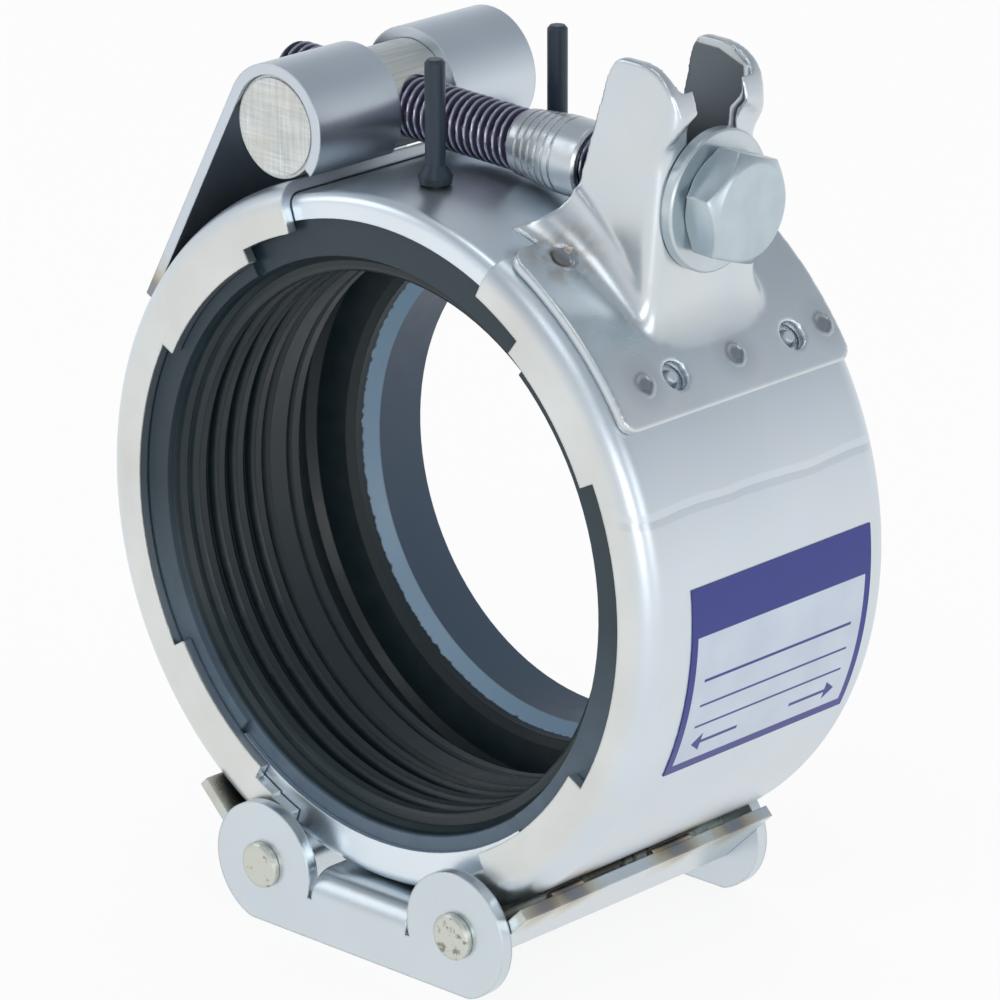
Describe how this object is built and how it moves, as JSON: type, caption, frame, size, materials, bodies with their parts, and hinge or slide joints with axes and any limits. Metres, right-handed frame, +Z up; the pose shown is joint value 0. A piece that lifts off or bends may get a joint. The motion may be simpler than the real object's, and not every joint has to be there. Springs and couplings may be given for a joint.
{
  "type": "pipe socket coupling",
  "caption": "Hinged stainless pipe coupling: casing halves on a double hinge, closed by one clamp bolt over a ribbed rubber sleeve that joins a threaded fitting to a plain pipe.",
  "frame": {"origin": "on the pipe axis, at mid width of the casing", "axes": "+Y along the pipe axis towards the plain pipe, -Y towards the threaded fitting, +X towards the bolt head, +Z up from the hinge to the bolt"},
  "size_m": [0.1162, 0.064, 0.1474],
  "materials": {
    "casing_steel": "satin stainless sheet",
    "plate_steel": "smooth stainless sheet",
    "sleeve_rubber": "moulded EPDM rubber",
    "strap_steel": "bent stainless strip",
    "bar_steel": "turned stainless bar",
    "bolt_steel": "stainless bolt with a dark coated thread",
    "lug_steel": "pressed stainless sheet",
    "label_foil": "printed silver foil"
  },
  "bodies": {
    "base": {"hinge_link": "lug_steel", "hinge_pin_left": "bar_steel", "hinge_pin_right": "bar_steel", "bottom_gap_plate": "plate_steel", "top_gap_plate": "plate_steel", "rubber_sleeve": "sleeve_rubber"},
    "left_half": {"casing_left": "casing_steel", "trunnion_strap": "strap_steel", "hinge_leaf_left": "strap_steel"},
    "right_half": {"casing_right": "casing_steel", "bolt_lug": "lug_steel", "hinge_leaf_right": "strap_steel", "type_label": "label_foil"},
    "trunnion": {"trunnion_bar": "bar_steel"},
    "bolt": {"clamp_bolt": "bolt_steel", "retaining_collar": "bar_steel", "flat_washer": "bolt_steel"}
  },
  "joints": [
    {"name": "left_half_hinge", "type": "hinge", "parent": "base", "child": "left_half", "pos_m": [-0.0209, 0, -0.05636], "axis": [0, -1, 0], "range_deg": [0, 4.5]},
    {"name": "right_half_hinge", "type": "hinge", "parent": "base", "child": "right_half", "pos_m": [0.0209, 0, -0.05636], "axis": [0, 1, 0], "range_deg": [0, 4.6]},
    {"name": "trunnion_swing", "type": "hinge", "parent": "left_half", "child": "trunnion", "pos_m": [-0.02273, 0, 0.06245], "axis": [0, 1, 0], "range_deg": [0, 3.45]},
    {"name": "bolt_travel", "type": "slide", "parent": "trunnion", "child": "bolt", "axis": [0.999, 0, -0.0436], "range_m": [0, 0.0197]}
  ],
  "couplings": [
    {"joint": "right_half_hinge", "follows": "left_half_hinge", "ratio": 1},
    {"joint": "trunnion_swing", "follows": "left_half_hinge", "ratio": 0.75},
    {"joint": "bolt_travel", "follows": "left_half_hinge", "m_per_rad": 0.249}
  ]
}
